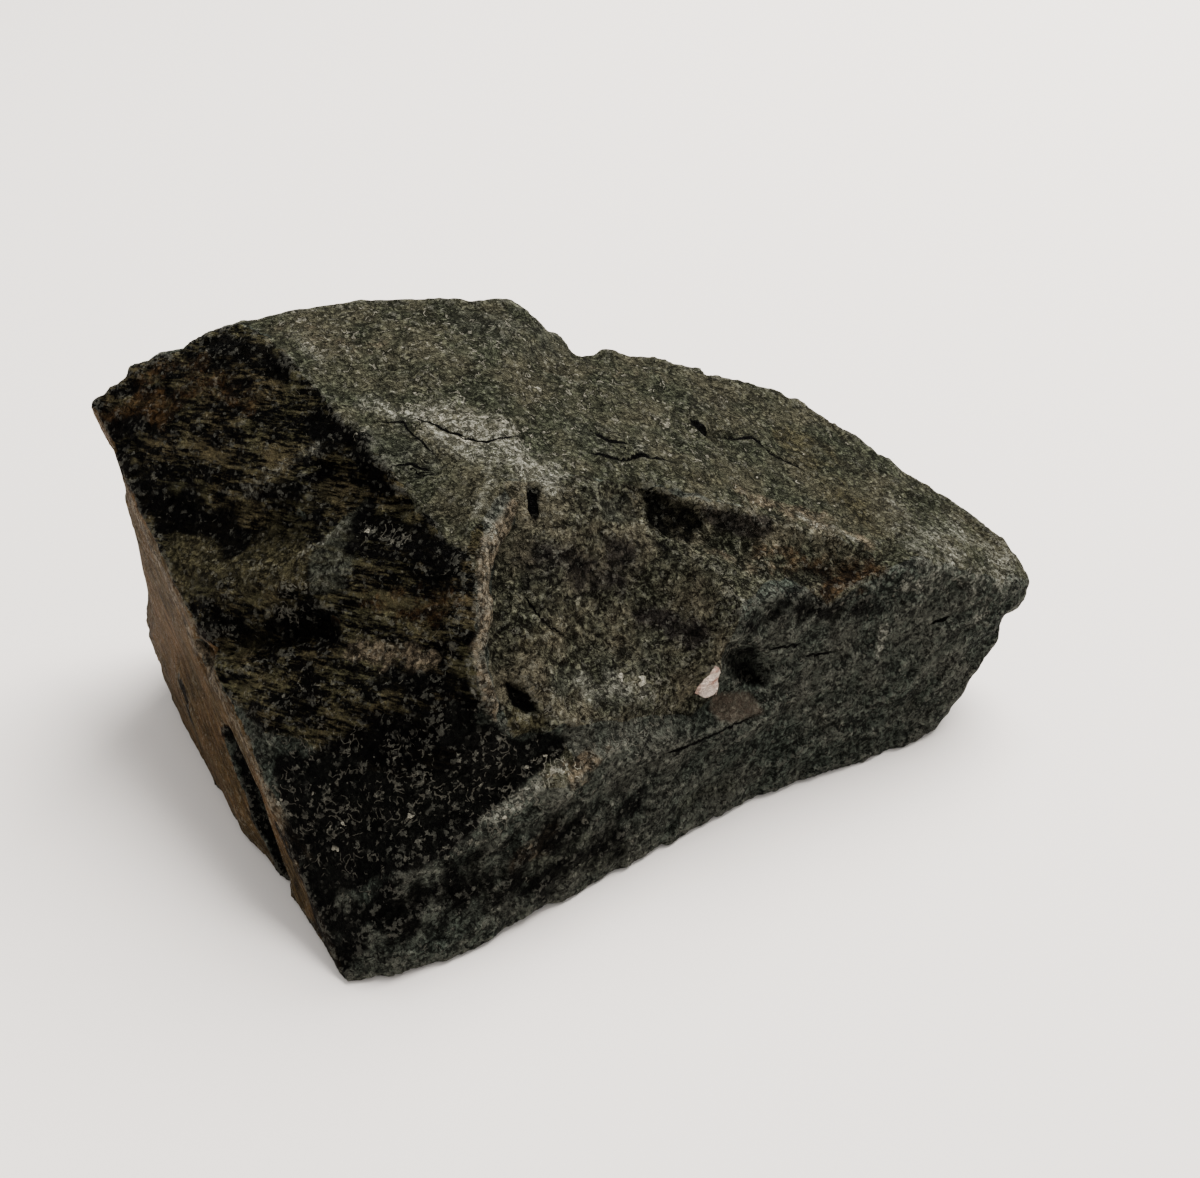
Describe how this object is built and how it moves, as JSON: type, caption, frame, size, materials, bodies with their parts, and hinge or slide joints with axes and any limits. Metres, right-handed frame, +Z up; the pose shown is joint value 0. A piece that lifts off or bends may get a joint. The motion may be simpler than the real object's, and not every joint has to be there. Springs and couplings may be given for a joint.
{
  "type": "greenschist rock specimen",
  "caption": "Wedge-shaped hand specimen of dark green schist with a flat joint face, a scooped broken front and a sloping top, lying on its uneven underside.",
  "frame": {"origin": "bottom centre of the bounding box, on the surface that the rock lies on", "axes": "+X along the longest extent, from the tall blunt end to the low wedge end; +Y from the broken, scooped front to the back; +Z up"},
  "size_m": [0.1544, 0.0926, 0.0669],
  "materials": {
    "greenschist_stone": "dull, rough broken surface"
  },
  "bodies": {
    "root": {"greenschist": "greenschist_stone"}
  },
  "joints": []
}
